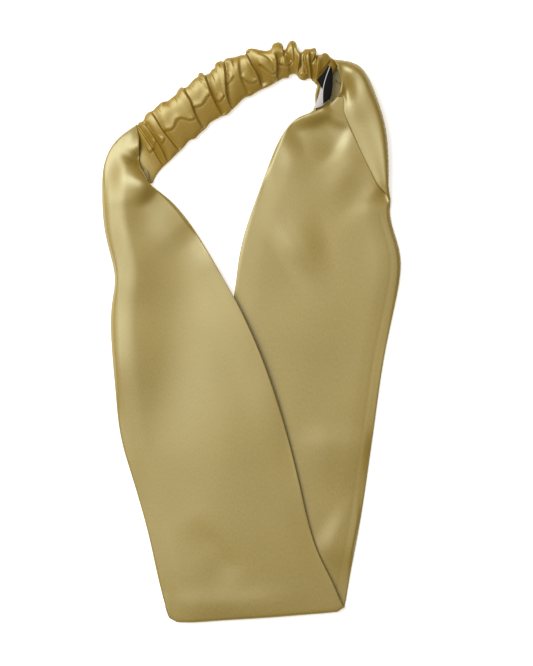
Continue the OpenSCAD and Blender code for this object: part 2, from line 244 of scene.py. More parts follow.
# Upper half, in the same way
UPPER = np.array([
    (-34.2, -121.4, 40.4, -116.2, 0, 0, 0, 1.2),
    (-38.5, -106, 36, -105.5, 0, 0, 0, 1.4),
    (-42.4, -89, 28.9, -90.5, 0, 0, 0, 1.4),
    (-46.8, -72, 22.3, -66, 0, 0, 0, 1.4),
    (-51, -58, 17.3, -45.5, 0, 0, 0, 1.5),
    (-55.2, -43, 12.4, -28.5, 0, 0, 0, 1.6),
    (-57.7, -22, 5, -7.5, 0, 0, 0, 1.8),
    (-59.4, -1, -3, 10.5, 0, 0, 0, 2),
    (-59.2, 14, -10, 23.5, 0, 0, 0, 2.4),
    (-57.9, 25.5, -17.5, 36.5, 0, 0, 0, 3),
    (-60.4, 38, -25.5, 49, 0, 0, 0, 3.8),
    (-62.8, 51, -32.5, 57.5, 0, 0, 0, 4.6),
    (-63.3, 65, -37.5, 61.8, 0, 0, 0, 5.4),
    (-61.5, 77.5, -40.6, 64.2, 0, 0, 0, 5.8),
    (-56.5, 85.5, -42, 65.3, 0.5, 0, 0, 5.6),
    (-48.4, 91.6, -43, 65.6, 1, -2, 0, 5),
])


def station_shares(table):
    """Share of the half's length at each station: the running length of the line midway between edges."""
    middle = (table[:, 0:2] + table[:, 2:4]) / 2
    steps = np.hypot(*np.diff(middle, axis=0).T) + 0.5 * np.hypot(*np.diff(table[:, 2:4], axis=0).T)
    return np.concatenate([[0], np.cumsum(steps)]) / steps.sum()


def rows_of(table, shares):
    """All station values at many shares along a half, by spline."""
    return through(table, station_shares(table), shares)


# %% [markdown]
# Across a row, a point of cloth is found by how far it lies from the left edge, measured over the cloth. Up
# to the outline it lies in the lower run; past the outline it goes round a half circle and comes back on top,
# which makes the turned-over flap at the upper right. Each layer lies half the air's height to one side of
# this middle line, and the air closes in a round edge at both long edges of the tube.

# %% The cross-section of the tube
# Radius of the tube's long edges, share of the air that is left there, and how far in the tube is full
EDGE_ROUND, EDGE_AIR, FULL_IN = 0.9, 0.36, 11
# Lift of the left and the right edge of each half, and of a flap's free edge, as shares of half the air
LOWER_EDGES, UPPER_EDGES, FLAP_EDGE = (0.7, 0.2), (-0.6, 0.6), -0.9
# A turn's outermost point stands past its circle by this share of half the air
TIP = 0.6
BAND_FLOOR = 0.25


def section(rows, v, layer, low_edge, high_edge):
    """Plan point, height and turn of one layer, and its distance from the nearer edge. rows holds the station
    values, v the share of the way across the cloth, layer +1 for the layer that looks up at the left edge and
    -1 for the one that looks down; low_edge and high_edge lift the left and the right edge. The plan point
    slides along a parabola from the left edge to the outline, bulged sideways; past the outline the middle
    line turns through pi round a small circle and runs back above itself."""
    left, right = rows[:, None, 0:2], rows[:, None, 2:4]
    flap, air = rows[:, None, 6], rows[:, None, 7]
    half = air / 2
    span = right - left
    length = np.hypot(span[..., 0], span[..., 1])
    normal = np.stack([span[..., 1], -span[..., 0]], -1) / length[..., None]
    flapped = ease(0, 6, flap)
    radius = half * 0.55 + 0.45
    start = length - flapped * (radius + half * TIP)
    width = length + flapped * (math.pi * radius - radius - half * TIP + flap - radius - half * TIP)
    along = v[None, :] * width
    from_edge = np.minimum(along, width - along)
    open_ = np.sqrt(np.clip(1 - (1 - np.clip(from_edge / EDGE_ROUND, 0, 1)) ** 2, 0, 1))
    flat_part = EDGE_AIR + (1 - EDGE_AIR) * ease(0, FULL_IN, from_edge)
    press = 1 - 0.35 * flapped * ease(start - 6, start + 4, along)
    off = half * open_ * flat_part * press * layer
    angle = np.clip((along - start) / radius, 0, math.pi)
    back = np.maximum(along - start - math.pi * radius, 0)
    reach = np.minimum(along, start) + radius * np.sin(angle) - back - off * np.sin(angle)
    up = radius * (1 - np.cos(angle)) + off * np.cos(angle)
    share = reach / length
    curve = 4 * share * (1 - share)
    bulge = rows[:, None, 4] if layer > 0 else \
        rows[:, None, 5] + (rows[:, None, 4] - rows[:, None, 5]) * ease(0.3, 2.0, angle)
    plan = left + share[..., None] * span + (bulge * curve)[..., None] * normal
    far_edge = high_edge * (1 - flapped) + FLAP_EDGE * flapped
    side = np.where(along < width / 2, low_edge, far_edge)
    return plan, up + half + side * half * (1 - open_ * flat_part), angle, from_edge


# %% Folds of the lower half
# Each is (line, height, width on its left, width on its right, start, end), in millimetres
LOWER_FOLDS = [
    # The rim of the mouth stands up, with a deep hollow below it
    ([(16, 91.6), (25, 94.6), (31, 97), (34.6, 99.4)], 1.3, 1.8, 4.2, 0.4, 0.35),
    ([(13, 84), (23, 88), (31, 91), (37, 95.5)], -1.5, 5, 9, 0.3, 0.3),
    # Creases that fan out of the mouth
    ([(41.5, 93), (38, 84), (33, 78), (26, 71)], -0.8, 2.6, 5.5, 0.15, 0.6),
    ([(33, 86), (25, 74), (16, 56)], 0.5, 9, 10, 0.4, 0.5),
    ([(52, 72), (46, 62), (39, 54), (28, 44)], -0.45, 5, 9, 0.3, 0.6),
    ([(46, 84), (40, 70), (32, 58)], 0.5, 6, 6, 0.3, 0.5),
    # Soft swells of the flat cloth
    ([(2, 76), (16, 77), (29, 74)], 0.8, 14, 9, 0.3, 0.5),
    ([(12, 34), (22, 40), (34, 44)], 1.1, 12, 12, 0.4, 0.5),
    ([(64, 14), (63.5, 36), (60, 52), (58, 60)], 0.8, 10, 6, 0.4, 0.2),
    ([(16, -46), (38, -46), (54, -47)], 0.9, 7, 14, 0.4, 0.2),
    ([(28, -84), (38, -89), (48, -90)], 0.9, 14, 8, 0.4, 0.1),
]
# On the turned-over flap: the lip of the mouth, the hollow behind it and the puff beyond
FLAP_FOLDS = [
    ([(35.6, 118.6), (37, 113), (38.4, 108), (39.4, 103)], 0.9, 1.8, 1.2, 0.2, 0.1),
    ([(37.6, 116), (39.6, 111), (41.4, 105), (42.4, 99)], -1, 2.6, 2, 0.3, 0.4),
    ([(41, 116.5), (44.6, 110), (46.6, 102), (48, 90)], 0.9, 8, 3, 0.2, 0.5),
]
# The inner edge of the upper half rises where it rests on the other one, both layers together
UPPER_EDGE = [
    ([(-25.5, 49), (-17.5, 36.5), (-10, 23.5), (-3, 10.5), (5, -7.5), (12.4, -28.5), (17.3, -45.5),
      (22.3, -66)], 1.7, 8, 8.5, 0.2, 0.5),
]
UPPER_FOLDS = [
    # Deep pocket at the mouth, and the bright ridge below it
    ([(-44, 74.2), (-50, 77), (-57, 81.5)], -2.3, 2.6, 2.8, 0.3, 0.6),
    ([(-45.4, 82), (-47, 78), (-47, 74)], -0.8, 2.2, 2.2, 0.3, 0.3),
    ([(-60.5, 73.5), (-52, 68.5), (-44, 65), (-39, 61.5)], 3, 4.3, 6, 0.8, 0.45),
    ([(-47, 85), (-53, 87), (-59, 82)], 0.8, 3.5, 3.5, 0.3, 0.3),
    # Bright roll along the left edge, with a hollow beside it
    ([(-46, 62), (-44, 52), (-47, 40)], -0.5, 9, 8, 0.3, 0.4),
    ([(-46, 64), (-38, 59.5), (-30, 53.5), (-21, 43)], 0.9, 4, 14, 0.7, 0.25),
    # The notch in the left edge and the shadow that leaves it
    ([(-62, 27), (-48, 25), (-30, 28)], 0.5, 14, 9, 0.3, 0.6),
    ([(-60, 76), (-59.5, 58), (-58, 42), (-55.5, 29), (-55.5, 14), (-54.8, -8), (-52, -30), (-46, -66)],
     2.2, 15, 4.4, 0.15, 0.3),
    ([(-34, 22), (-30, -4), (-29, -24), (-28, -52)], -0.3, 12, 12, 0.4, 0.5),
    # Swells above the front fold
    ([(-26, -76), (-15, -92), (-4, -106)], -0.7, 6, 9, 0.4, 0.35),
    ([(-38, -114), (-8, -113.5), (30, -111.5)], 0.6, 5, 7, 0.35, 0.45),
]

# %% [markdown]
# Now the whole tube can be put together, from the lower half's gathered end, round the front fold, to the
# upper half's gathered end. Rows crowd towards the gathered ends, where the folds are small. At the fold both
# layers turn on half circles, the outer layer round the inner one. Past each end the cloth turns in as a hem.

# %% Build the band
ROWS_LOWER, ROWS_UPPER, ROWS_TURN, ROWS_HEM, COLUMNS, CROWD = 168, 160, 9, 6, 71, 1.25
HEM_DEEP, CLOTH_T = 0.7, 0.25
FOLD_OUT = np.array([math.sin(math.radians(4)), -math.cos(math.radians(4))])
HIDDEN_EDGE = np.array([(-140, -35), (-121, -34.2), (17.8, -6.7), (36, -4.2), (54, 0.8), (90, 14.0)])
# Lift of the upper half where it lies on the lower one, and of the flap towards its turn
UNDER_UPPER, FLAP_RISE = 1.6, 1.7
# The long seam is a faint groove along the lower half: how far in from the right edge, how deep and wide
SEAM_IN, SEAM_DEEP, SEAM_WIDE = 4.2, 0.06, 0.5
# Where the upper half's mouth edge is drawn in: centre x y, pull x y, reach
MOUTH_PULLS = [((-44.4, 75.0), (-1.9, 0.3), 4.5), ((-46.0, 86.0), (0.7, 0.0), 3.0)]


def slack(x, y):
    """The faint unrest of cloth that nobody has ironed: three long waves across each other, each a sine of the
    distance along its own direction, a tenth of a millimetre high."""
    waves = [(0.11, 0.04, 0.4, 0.10), (-0.05, 0.13, 1.9, 0.08), (0.19, -0.07, 3.1, 0.04)]
    return sum(high * np.sin(a * x + b * y + start) for a, b, start, high in waves)


def band_layer(table, folds, shares, v, layer, upper):
    """Points of one layer of one half, in millimetres, from its fold to its gathered end. The upper half lies
    on the lower one and sinks to the table beyond its left edge: its upper layer over a long slope, its lower
    layer over a short one. Folds are added to the layer that is seen, and the flap rises towards its turn."""
    rows = rows_of(table, shares)
    plan, height, angle, from_edge = section(rows, v, layer, *(UPPER_EDGES if upper else LOWER_EDGES))
    x, y = plan[..., 0], plan[..., 1]
    inside = ease(0, 1.5, from_edge)
    height = height + slack(x + 40 * upper, y) * inside * (layer > 0)
    y = y + 1.5 * (1 - ease(0, 3.4, from_edge)) * np.exp(-shares[:, None] * 100)
    if upper:
        past = x - np.interp(y, HIDDEN_EDGE[:, 0], HIDDEN_EDGE[:, 1])
        height = height + UNDER_UPPER * (ease(-26, 12, past) if layer > 0 else ease(-15, 0, past))
        height = height + fold_heights(x, y, UPPER_EDGE)
        for centre, pull, reach in MOUTH_PULLS:
            near = np.exp(-((x - centre[0]) ** 2 + (y - centre[1]) ** 2) / reach ** 2)
            x, y = x + pull[0] * near, y + pull[1] * near
    else:
        turned_over = ease(0.4, 2.6, angle)
        short_of = (from_edge / rows[:, None, 6].clip(1) - 1).clip(-9, 0)
        height = height + FLAP_RISE * turned_over * np.exp(-short_of ** 2 * 3)
    if upper and layer > 0:
        height = height + fold_heights(x, y, folds) * inside
    if not upper and layer > 0:
        from_seam = (rows[:, None, 2] - plan[..., 0]) - SEAM_IN
        groove = SEAM_DEEP * np.exp(-(from_seam / SEAM_WIDE) ** 2)
        height = height - groove * (angle < 0.5) * (1 - ease(0, 2, rows[:, None, 6]))
        height = height + fold_heights(x, y, folds) * inside * (angle < 0.5)
    if not upper and layer < 0:
        height = height + fold_heights(x, y, FLAP_FOLDS) * ease(0, 3, from_edge) * ease(2.4, 3.1, angle)
    return np.dstack([x, y, height + BAND_FLOOR])


def hem(ring_rows, inwards, deep):
    """A few rows that turn the mouth's edge in: each follows a half circle from the edge, then runs back. It
    shrinks to nothing at the tube's two long edges, where there is no room for it."""
    edge, before = ring_rows[0], ring_rows[1]
    back = before - edge
    back /= np.linalg.norm(back, axis=1)[:, None]
    turn = np.linspace(0, 1, ROWS_HEM + 1)[1:, None, None]
    angle = np.minimum(turn * 2, 1) * math.pi
    run = np.maximum(turn - 0.5, 0) * 2 * deep
    ring_v = np.concatenate([v, v[-2:0:-1]])
    room = ease(0.005, 0.12, np.minimum(ring_v, 1 - ring_v))[:, None]
    return edge + room * (inwards * 0.5 * (1 - np.cos(angle)) * 0.5 + back * (run - 0.3 * np.sin(angle)))


# Columns crowd towards the two long edges, and rows towards the gathered end
v = np.linspace(0, 1, COLUMNS)
v = 0.35 * v + 0.65 * (1 - np.cos(math.pi * v)) / 2
t_lower = 1 - (1 - np.linspace(0, 1, ROWS_LOWER)) ** CROWD
t_upper = 1 - (1 - np.linspace(0, 1, ROWS_UPPER)) ** CROWD
lower_up = band_layer(LOWER, LOWER_FOLDS, t_lower, v, 1, False)
lower_down = band_layer(LOWER, LOWER_FOLDS, t_lower, v, -1, False)
upper_up = band_layer(UPPER, UPPER_FOLDS, t_upper, v, 1, True)
upper_down = band_layer(UPPER, UPPER_FOLDS, t_upper, v, -1, True)


def ring(up, down):
    """One closed ring per row: the layer from left to right, then the other one back."""
    return np.hstack([up, down[:, -2:0:-1]])


def turned(low, high):
    """Rows of a layer that turns over the fold line, on half circles between its two ends."""
    angle = (np.arange(1, ROWS_TURN + 1) / (ROWS_TURN + 1) - 0.5)[:, None, None] * math.pi
    middle, radius = (low + high) / 2, np.abs(high[..., 2:] - low[..., 2:]) / 2
    out = np.array([*FOLD_OUT, 0])
    swing = (high - low) / 2
    return middle + swing * np.sin(angle) + out * radius * np.cos(angle)


# On the lower half the inner face looks up; past the fold it looks down, and the outer face is on top
turn_inner = turned(lower_up[0], upper_down[0])
turn_outer = turned(lower_down[0], upper_up[0])
lower_ring = ring(lower_up, lower_down)[::-1]
turn_ring = ring(turn_inner, turn_outer)
upper_ring = ring(upper_down, upper_up)
band = np.concatenate([lower_ring, turn_ring, upper_ring])
centre_low = band[:1].mean(axis=1, keepdims=True)
centre_high = band[-1:].mean(axis=1, keepdims=True)


def toward(points, centre):
    """Unit steps from each point to the centre of its ring, mostly up or down."""
    step = centre - points
    step[..., :2] *= 0.3
    return step / np.linalg.norm(step, axis=-1, keepdims=True)


hem_low = hem(band[:2], toward(band[0], centre_low[0]), HEM_DEEP)[::-1]
hem_high = hem(band[::-1][:2], toward(band[-1], centre_high[0]), HEM_DEEP)
band = np.concatenate([hem_low, band, hem_high])
row_at = np.arange(len(band))
# The cloth round the band before and after the seam takes its allowance, and along it, in metres
FLAT_ROUND, SEWN_ROUND, FLAT_LONG = 0.156, 0.146, 0.457
uv = np.dstack(np.meshgrid(np.linspace(0, SEWN_ROUND, band.shape[1] + 1), row_at / len(band) * FLAT_LONG))
print("band grid", band.shape)

band_cloth = grid_piece("band_cloth", band, uv, closed=True)


def outward(piece):
    """Flips the piece's faces if they look into the tube: for a closed tube the sum of each face's area times
    its normal's reach away from the tube's own middle has to be positive."""
    mesh = piece.data
    count = len(mesh.polygons)
    centre, normal, area = np.empty(count * 3), np.empty(count * 3), np.empty(count)
    mesh.polygons.foreach_get("center", centre)
    mesh.polygons.foreach_get("normal", normal)
    mesh.polygons.foreach_get("area", area)
    volume = (centre * normal).reshape(-1, 3)
    inside_out = (volume[:, 2] * area).sum() < 0
    if inside_out:
        mesh.flip_normals()
    print(piece.name, "faces", count, "turned round" if inside_out else "already outwards")
    return piece


def thick(piece, thickness, grow=-1.0):
    """Gives a sheet its real thickness in millimetres, on the inner side unless grow says otherwise."""
    solid = piece.modifiers.new("cloth thickness", "SOLIDIFY")
    solid.thickness, solid.offset, solid.use_even_offset = thickness * MM, grow, False


outward(band_cloth)
thick(band_cloth, CLOTH_T)

# %% [markdown]
# The casing is a narrow tube of the same satin, ruched over the elastic. Its folds are short transverse puffs
# with sharp valleys between them, each of its own width and slant. First we draw its outer and inner edges.

# %% Outline of the casing
# The outer edge, from the left gathered end to the right one, with the head of every ruche standing out
CASING_OUTER = np.array([
    (-52, 86), (-50, 89.2), (-48, 91.3), (-47.3, 92.2), (-46.3, 92.6), (-45.4, 93.2), (-44.8, 94.8),
    (-43.5, 96.4), (-42.8, 96.8), (-41.8, 97.1), (-40.5, 98.2), (-39, 99.7), (-37.2, 101), (-35.5, 101.3),
    (-33.5, 102.6), (-31.5, 104.3), (-30.9, 105.4), (-30, 106.7), (-29, 107.3), (-28.2, 107), (-27, 107.3),
    (-25, 109.3), (-23, 111.2), (-22, 112), (-21.8, 113), (-21, 113.4), (-20, 113.3), (-19.3, 112.4),
    (-18.5, 112.6), (-17, 113.4), (-15.8, 114.9), (-14.9, 115.6), (-14.7, 117), (-14, 117.8), (-13, 118.2),
    (-12, 118.4), (-11.2, 118.2), (-10.7, 118.8), (-9.8, 119.5), (-7.5, 119.9), (-5, 120.5), (-3, 121),
    (-1.8, 121.2), (-1.5, 122.6), (-0.7, 123.4), (0.5, 123.7), (2.5, 123.6), (4.5, 123.1), (6.5, 122.8),
    (8.3, 123), (9.4, 124), (9.9, 125.4), (11, 126.1), (12.3, 126.4), (13.7, 125.9), (14.4, 124.7),
    (14.8, 123.1), (15.4, 123.4), (16, 124.6), (16.8, 126.3), (17.9, 127.1), (19.1, 126.9), (20, 125.9),
    (20.4, 124.2), (21.1, 122.8), (22, 122.2), (22.9, 122.5), (23.6, 123.4), (25, 123.6), (26.8, 123.9),
    (27.9, 124.1), (28.6, 123.5), (28.3, 122.2), (28.2, 121.1), (29.3, 121.1), (30.5, 121.2), (31.5, 121.8),
    (32.7, 122), (33.8, 121.4), (34.6, 120.3), (35.8, 119.5), (38, 117.6)
])
CASING_INNER = np.array([
    (-47, 67.5), (-44, 67), (-42, 66.3), (-40.9, 68), (-39.5, 70.5), (-37.2, 73.2), (-35.2, 75),
    (-32.5, 77.6), (-30.2, 79.8), (-27.5, 82.6), (-25, 85), (-23.5, 85.4), (-22.3, 86.5), (-20.3, 88.4),
    (-18.4, 90.2), (-17, 92), (-15.8, 92.9), (-13.5, 94.1), (-11.5, 95.1), (-10, 95.5), (-8.8, 96.3),
    (-7.5, 97.7), (-6, 99.1), (-4.5, 100.6), (-3, 102.1), (-1.3, 103.2), (0.3, 103.6), (2, 104.6),
    (4, 105.8), (6.3, 106.9), (8, 107.6), (10, 108.7), (12, 109.9), (13.8, 110.9), (15.3, 111.3),
    (16.6, 111.4), (17.2, 112.4), (18, 112.9), (19.3, 113.1), (20.2, 112.7), (20.8, 111.8), (21.7, 110.9),
    (23, 110.4), (24.1, 110.6), (25, 111.1), (26.4, 111), (27.2, 110.2), (28, 109.2), (28.8, 108.6),
    (30.5, 107.6), (33, 106.6)
])
# Rows of the casing run from the outer to the inner edge along the folds: x of the outer point, x of the
# inner point it belongs to, and the casing's height there
CASING_TIES = np.array([
    (-52, -47, 1.9), (-50, -42, 2.3), (-47.7, -37.2, 4.4), (-45.4, -35.2, 5.4), (-43, -30.2, 6),
    (-37.2, -25, 6.4), (-29, -20, 6.8), (-20, -11.5, 7.2), (-11.4, -7.6, 7.4), (-1.6, 5.2, 7.6),
    (11.4, 11.8, 7.8), (17.9, 17.2, 7.6), (22, 20.8, 7.2), (26, 26.4, 6.6), (28.5, 27.9, 6.2),
    (32.7, 29.6, 5.4), (38, 33, 3.2)
])

# %% [markdown]
# A ruche is made by one fold line. On one side of it the cloth stands up in a lip, and on the other it dives
# under that lip and comes back slowly. So each fold is a line with a lip, a hollow and a step between them.

# %% Fold lines of the casing
# (line from the outer to the inner edge, lip height, lip width, hollow depth, hollow width, start, end)
PLEATS = [
    ([(-48.5, 91), (-45.3, 86.6), (-42.4, 82.4), (-39.6, 77.8), (-36.6, 72.8)], 0.5, 2.2, 1.5, 1.6, 0.1, 0.05),
    ([(-46.6, 92.6), (-45.6, 91.2), (-44.4, 90)], 0.6, 0.5, 0.8, 0.5, 0.2, 0.5),
    ([(-45.4, 92.4), (-42.7, 88.8), (-40.4, 85.4), (-38, 81.6), (-36.2, 78.2), (-34.9, 74.8)],
     0.8, 1.8, 1.7, 1.2, 0.1, 0.05),
    ([(-42.9, 97.2), (-40.6, 94.6), (-37.6, 89.6), (-34, 84.8), (-29.8, 79.6)], 0.7, 3, 1.6, 2.2, 0.1, 0.05),
    ([(-35, 102.2), (-36.6, 100), (-38.4, 96.6)], 0.5, 1.6, 0.7, 2.2, 0.1, 0.7),
    ([(-28.8, 107.6), (-26.9, 104), (-25, 100.8), (-23.9, 97.6), (-22.2, 93.6), (-19.6, 88.6)],
     1, 3, 1.6, 3.2, 0.1, 0.05),
    ([(-22.6, 112.6), (-21, 110.6), (-19.4, 108.6)], 0.9, 0.7, 0.9, 0.5, 0.1, 0.4),
    ([(-19.6, 113.4), (-17.9, 109), (-16.4, 104.8), (-14.4, 100.2), (-11.2, 94.8)], 1.1, 1.8, 1.9, 1.6, 0.1, 0.05),
    ([(-13.4, 118.6), (-12.9, 116.6), (-12.2, 114.2)], 0.7, 0.7, 0.7, 0.7, 0.1, 0.5),
    ([(-11, 118.8), (-10.3, 114), (-10, 108.6), (-9.5, 103), (-8.3, 99.6), (-7.3, 96.8)],
     1, 1.6, 2.1, 1.6, 0.1, 0.05),
    ([(-4.2, 121.2), (-4.4, 116), (-3.2, 110), (-0.2, 103.2)], 0.5, 3.5, 0.8, 2.4, 0.5, 0.1),
    ([(-2, 122.2), (-0.2, 118.8), (1.4, 115.8), (3.6, 112.4), (5.2, 106.6)], 1.3, 1.6, 2.6, 2.8, 0.1, 0.1),
    ([(10.8, 122), (11.9, 117), (11.8, 113), (11.8, 109.4)], 1.4, 1.6, 1.9, 2.6, 0.2, 0.1),
    ([(14.9, 124.6), (14.8, 122), (14.7, 119.4)], 0.3, 1, 2.2, 1, 0, 0.5),
    ([(16.4, 122), (17.2, 119.6), (19, 117.6)], -1.4, 2.4, -0.3, 1.4, 0.3, 0.3),
    ([(20.9, 124.4), (21.6, 120.4), (21.4, 117), (20.4, 112.2)], 1.3, 1.1, 2.2, 1.4, 0.1, 0.3),
    ([(23.9, 122.6), (23.2, 118.6), (24.2, 114.4), (24.6, 112.8)], -0.6, 0.8, -1, 0.9, 0.2, 0.2),
    ([(25.6, 122.4), (25.6, 118.6), (26.2, 114.8), (26.8, 109.8)], 1, 0.8, 2.2, 1.3, 0.2, 0.05),
    ([(28.3, 122.2), (27.6, 119.4), (26.2, 117.2)], 1.4, 0.8, 1.2, 0.7, 0.05, 0.3),
    ([(29.6, 121.4), (28.8, 117.8), (28.4, 114), (27.6, 109.6)], -1.2, 1.2, -1.6, 2.6, 0.2, 0.1),
    ([(35.4, 120), (33, 116.4), (30, 112.4)], 0.2, 1.2, 0.5, 1.6, 0.1, 0.2),
    # Small tucks along the outer edge
    ([(-39.4, 99.8), (-38.6, 97.4), (-36.2, 94.6)], 0.3, 1.2, 0.5, 0.9, 0.1, 0.7),
    ([(-32.2, 104.6), (-31.4, 102), (-30, 99.4)], 0.3, 1, 0.5, 0.9, 0.1, 0.7),
    ([(-25.2, 109.6), (-24.2, 107.2), (-22.4, 104.6)], 0.4, 1.2, 0.4, 1, 0.1, 0.7),
    ([(-17, 113.8), (-15.4, 111), (-14.4, 108)], 0.4, 1.1, 0.6, 1, 0.1, 0.7),
    ([(-7.6, 120.2), (-7.2, 117.2), (-6.2, 113.4)], 0.4, 1.4, 0.6, 1.2, 0.1, 0.7),
    ([(3, 121.2), (7, 119.6), (10.2, 116.4)], 0.6, 1.6, 0.9, 1.4, 0.4, 0.4),
    ([(17.4, 127.4), (18.8, 122), (19, 117)], 0.6, 0.8, 0.3, 0.8, 0.2, 0.4),
    ([(31.8, 122.4), (31.2, 119.4), (29.6, 116.4)], 0.4, 1, 0.5, 1, 0.1, 0.6),
]
# The wandering seam, one stretch between each pair of folds
SEAMS = [
    [(-43, 79.2), (-41.6, 80.2), (-40.6, 82), (-40, 85)],
    [(-38, 83.2), (-37, 83.6), (-36, 85.6)],
    [(-37.4, 88.2), (-35.4, 88.6), (-33.4, 89), (-31.9, 90.6), (-31, 92.8), (-29.4, 93.8), (-27.4, 93.5),
     (-25.4, 92.9), (-23.8, 93.4), (-22.8, 94.4)],
    [(-24.6, 98.4), (-22.4, 98.7), (-20.4, 99.4), (-19, 101), (-17.6, 103), (-16.2, 104.6)],
    [(-14.6, 101.6), (-12.8, 101), (-11.6, 102), (-10.4, 103.8)],
    [(-10, 108.4), (-8.6, 109), (-7.6, 110.2), (-6.4, 111.8)],
    [(-4, 111.9), (-1.8, 109.9), (0.6, 109), (2.4, 109), (3.2, 110.6)],
    [(3.6, 116.2), (5, 116.2), (6.4, 115), (8.4, 113.4), (10.2, 112.7), (11.4, 113.4)],
    [(12.2, 117.2), (14, 116.5), (15.8, 116.1), (17.4, 116.8), (18.6, 118.6)],
    [(21, 112.4), (22.4, 111.5), (24, 111.8), (24.8, 113)],
]

# %% Build the casing
CASING_ROWS, CASING_ROUND = 440, 108
# Half width of a fold's step, and a share that makes all of the folds shallower
PLEAT_STEP, PLEAT_SHARE = 0.42, 0.75
# The seam's lap: height, width and half width of its step; then depth and width of the groove at its foot
LAP_HIGH, LAP_WIDE, LAP_STEP, GROOVE_DEEP, GROOVE_WIDE = 0.5, 2.0, 0.3, 0.15, 0.35


def at_x(line, x):
    """Share of the length of a line at which it has, in running order, come as far as x."""
    length = np.concatenate([[0], np.cumsum(np.hypot(*np.diff(line, axis=0).T))])
    reached = np.maximum.accumulate(line[:, 0])
    return np.interp(x, reached + np.arange(len(line)) * 1e-6, length / length[-1])


def along_line(line, share):
    """Points of a line at shares of its length, on a spline through its corners."""
    length = np.concatenate([[0], np.cumsum(np.hypot(*np.diff(line, axis=0).T))])
    return through(line, length / length[-1], share)


def pleat_heights(x, y):
    """Sum over the fold lines. On the left of a line, looking along it, the cloth rises from nothing to the lip
    as a bell; on its right it dips to the hollow. A narrow smooth step joins the two."""
    height = np.zeros(x.shape)
    for line, lip, lip_wide, hollow, hollow_wide, start, end in PLEATS:
        off, along = from_line(x, y, line)
        off = -off
        swell = ease(0, max(start, 1e-3), along) * ease(0, max(end, 1e-3), 1 - along)
        up = lip * np.exp(-(off / lip_wide) ** 2)
        down = -hollow * np.exp(-np.abs(off / hollow_wide) ** 1.5)
        height += swell * (down + (up - down) * ease(-PLEAT_STEP, PLEAT_STEP, off)) * PLEAT_SHARE
    return height


def seam_heights(x, y):
    """The seam: the cloth above the line laps over the cloth below it and ends in a small step, with a groove at
    the foot of the step."""
    height = np.zeros(x.shape)
    for line in SEAMS:
        off, along = from_line(x, y, line)
        swell = ease(0, 0.12, along) * ease(0, 0.12, 1 - along)
        height += swell * (LAP_HIGH * np.exp(-(off / LAP_WIDE) ** 2) * ease(-LAP_STEP, LAP_STEP, off)
                           - GROOVE_DEEP * np.exp(-((off + LAP_STEP) / GROOVE_WIDE) ** 2))
    return height


def casing_surface(rows, turns):
    """Points of the casing for every row and angle, in millimetres. A row joins a point of the outer edge to
    one of the inner edge; the section there is a squared oval. Folds and seam move its upper side up and
    down, and its lower side, at a third of the strength, the other way."""
    place = np.linspace(0, 1, len(CASING_TIES))
    outer, inner = (along_line(edge, np.interp(rows, place, at_x(edge, CASING_TIES[:, tie])))[:, None]
                    for tie, edge in enumerate((CASING_OUTER, CASING_INNER)))
    tall = through(CASING_TIES, place, rows)[:, None, 2]
    cosine, sine = np.cos(turns)[None, :], np.sin(turns)[None, :]
    side = np.sign(cosine) * np.abs(cosine) ** 0.85
    up = np.sign(sine) * np.abs(sine) ** 0.75
    plan = (outer + inner) / 2 + side[..., None] * (outer - inner) / 2
    x, y = plan[..., 0], plan[..., 1]
    folds = pleat_heights(x, y)
    above = np.clip(sine, 0, 1) ** 0.6
    below = np.clip(-sine, 0, 1) ** 0.6
    sloping = 1 - 0.5 * ease(-0.75, 1.3, -side)
    height = (tall / 2 + up * tall / 2) * sloping + folds * (above - 0.33 * below) + seam_heights(x, y) * above
    lift = 0.5 * (1 - ease(0, 0.1, rows) * ease(0, 0.06, 1 - rows))[:, None]
    return np.dstack([x, y, np.maximum(height, 0.3) + lift])


rows_c = np.linspace(0, 1, CASING_ROWS)
CASING_TOP = 74
turns_c = np.concatenate([np.linspace(0, math.pi, CASING_TOP, endpoint=False),
                          np.linspace(math.pi, 2 * math.pi, CASING_ROUND - CASING_TOP, endpoint=False)])
casing_grid = casing_surface(rows_c, turns_c)
uv_c = np.dstack(np.meshgrid(np.linspace(0, 0.046, CASING_ROUND + 1), rows_c * 0.13))
casing_cloth = grid_piece("casing_cloth", casing_grid, uv_c, closed=True)
outward(casing_cloth)
thick(casing_cloth, CLOTH_T)

# %% [markdown]
# Inside the casing runs a flat braided elastic. It stretches with the casing when the headband opens, so it
# is a ribbon along the casing's middle line, and the seam's thread is a fine cord laid in the groove.

# %% Elastic and seam threads


def cord_along(name, path, radius, sides=8):
    """A round cord through a path of points in millimetres: at each point a circle square to the path."""
    ahead = np.gradient(path, axis=0)
    ahead /= np.linalg.norm(ahead, axis=1)[:, None]
    flat = np.cross(ahead, [0, 0, 1.0])
    flat /= np.maximum(np.linalg.norm(flat, axis=1), 1e-6)[:, None]
    lift = np.cross(flat, ahead)
    angle = np.linspace(0, 2 * math.pi, sides, endpoint=False)
    rings = path[:, None] + radius * (np.cos(angle)[None, :, None] * flat[:, None]
                                      + np.sin(angle)[None, :, None] * lift[:, None])
    tip_a = np.repeat(path[:1, None], sides, axis=1)
    tip_b = np.repeat(path[-1:, None], sides, axis=1)
    points = np.concatenate([tip_a, rings, tip_b])
    run = np.linspace(0, len(path) * 0.0003, len(points))
    uv = np.dstack(np.meshgrid(np.linspace(0, 0.0006, sides + 1), run))
    return outward(grid_piece(name, points, uv, closed=True))


rows_e = np.linspace(0.1, 0.93, 160)
edge_e = casing_surface(rows_e, np.array([0.0, math.pi]))
middle_e, across_e = edge_e.mean(axis=1), edge_e[:, 0] - edge_e[:, 1]
